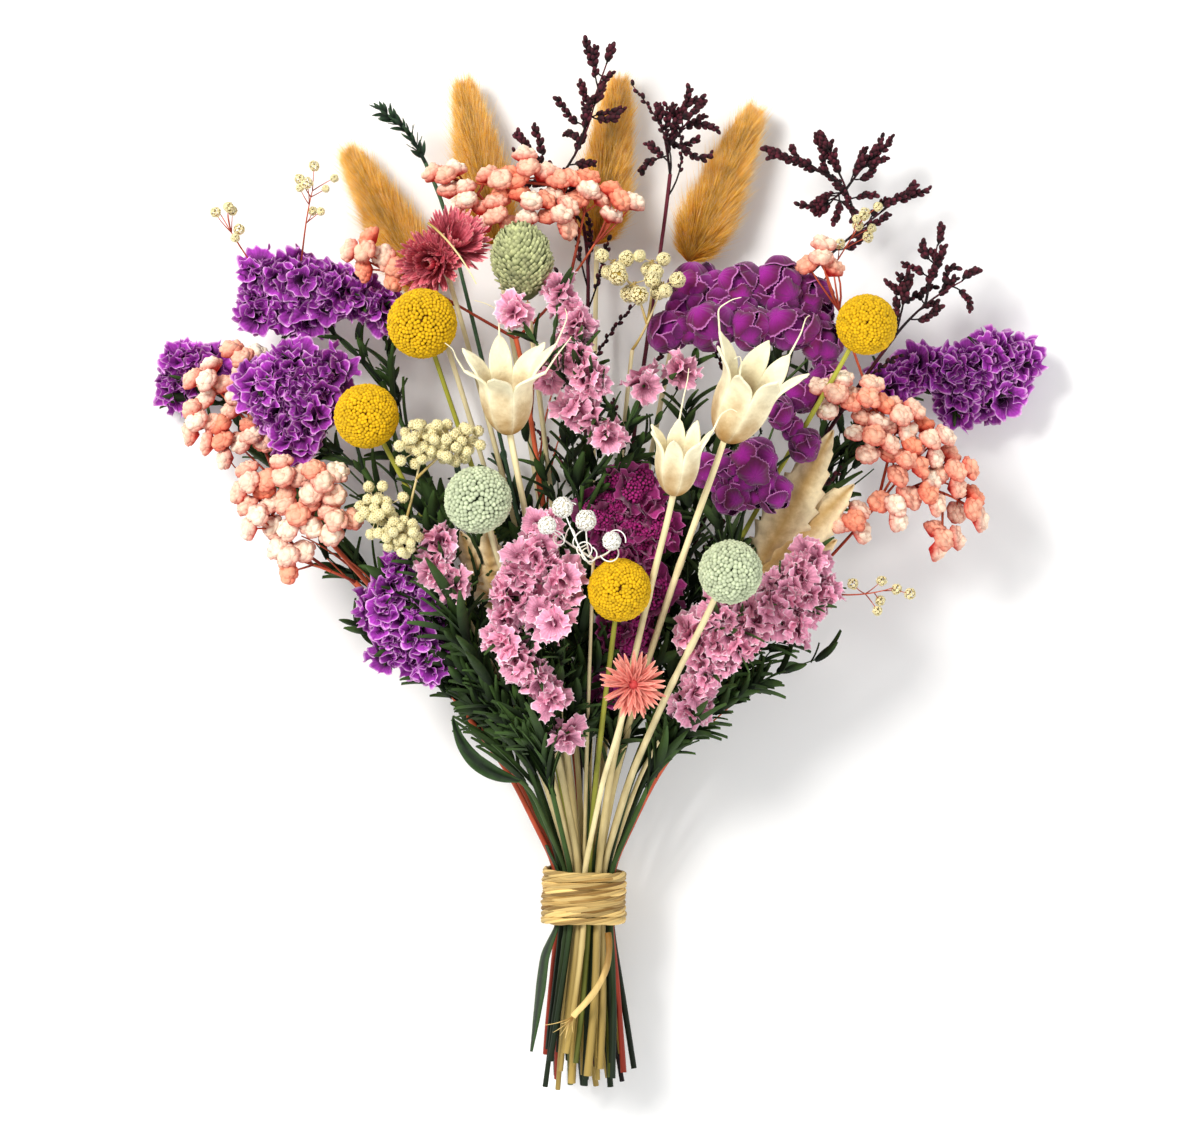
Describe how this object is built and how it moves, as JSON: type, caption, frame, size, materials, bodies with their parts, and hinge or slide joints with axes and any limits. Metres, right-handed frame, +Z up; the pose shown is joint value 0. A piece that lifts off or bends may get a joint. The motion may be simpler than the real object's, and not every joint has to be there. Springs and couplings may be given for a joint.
{
  "type": "bunch of dried flowers",
  "caption": "Hand-tied bunch of dried and dyed flowers with bunny tails, billy buttons, statice and star pods, bound with raffia.",
  "frame": {"origin": "on the table, under the middle of the bunch's bounding box as it lies on its back", "axes": "+Y from the cut stems to the flowers, +Z up, away from the table, and +X to the right as seen from above with the flowers at the top"},
  "size_m": [0.3536, 0.4146, 0.1433],
  "materials": {
    "straw_stem": "dry stalk",
    "bunny_tail": "soft dyed grass hair",
    "olive_stem": "dry stalk",
    "billy_button": "dry packed florets",
    "sage_ball": "dry dyed ball head",
    "star_pod": "bleached woody pod",
    "canary_grass": "dry dyed grass head",
    "cerise_flower": "dry dyed strip petals",
    "coral_star_flower": "dry dyed strip petals",
    "violet_statice": "papery florets",
    "pink_statice": "papery florets",
    "coral_blossom": "puffed soft blossoms",
    "magenta_globe": "velvety bracts",
    "velvet_plume": "velvety plume",
    "dark_caspia": "fine dark twig",
    "rosemary_sprig": "needle leaves",
    "cream_yarrow": "tiny dry florets",
    "white_curl_buds": "tiny dry buds",
    "cream_balls": "tiny dry florets",
    "beige_leaf": "dry leaf",
    "curled_leaf": "dry leaf",
    "low_blade_leaf": "dry leaf",
    "raffia": "dull plant fibre"
  },
  "bodies": {
    "root": {"bunny_tail_1_stem": "straw_stem", "bunny_tail_1_head": "bunny_tail", "bunny_tail_2_stem": "straw_stem", "bunny_tail_2_head": "bunny_tail", "bunny_tail_3_stem": "straw_stem", "bunny_tail_3_head": "bunny_tail", "bunny_tail_4_stem": "straw_stem", "bunny_tail_4_head": "bunny_tail", "billy_button_1_stem": "olive_stem", "billy_button_1_head": "billy_button", "billy_button_2_stem": "olive_stem", "billy_button_2_head": "billy_button", "billy_button_3_stem": "olive_stem", "billy_button_3_head": "billy_button", "billy_button_4_stem": "olive_stem", "billy_button_4_head": "billy_button", "sage_ball_1_stem": "straw_stem", "sage_ball_1_head": "sage_ball", "sage_ball_2_stem": "straw_stem", "sage_ball_2_head": "sage_ball", "star_pod_1_stem": "straw_stem", "star_pod_1_head": "star_pod", "star_pod_2_stem": "straw_stem", "star_pod_2_head": "star_pod", "star_pod_3_stem": "straw_stem", "star_pod_3_head": "star_pod", "canary_grass_stem": "straw_stem", "canary_grass_head": "canary_grass", "cerise_flower": "cerise_flower", "coral_star_flower": "coral_star_flower", "violet_statice_1": "violet_statice", "violet_statice_2": "violet_statice", "violet_statice_3": "violet_statice", "violet_statice_4": "violet_statice", "violet_statice_5": "violet_statice", "pink_statice_1": "pink_statice", "pink_statice_2": "pink_statice", "pink_statice_3": "pink_statice", "pink_statice_4": "pink_statice", "coral_blossom_1": "coral_blossom", "coral_blossom_2": "coral_blossom", "coral_blossom_3": "coral_blossom", "coral_blossom_4": "coral_blossom", "magenta_globe_1": "magenta_globe", "magenta_globe_2": "magenta_globe", "velvet_plume": "velvet_plume", "dark_caspia_1": "dark_caspia", "dark_caspia_2": "dark_caspia", "dark_caspia_3": "dark_caspia", "dark_caspia_4": "dark_caspia", "rosemary_sprig": "rosemary_sprig", "cream_yarrow": "cream_yarrow", "white_curl_buds": "white_curl_buds", "cream_balls": "cream_balls", "beige_leaf_right": "beige_leaf", "beige_leaf_left": "beige_leaf", "curled_leaf": "curled_leaf", "low_blade_leaf": "low_blade_leaf", "raffia_binding": "raffia", "raffia_loose_end": "raffia"}
  },
  "joints": []
}
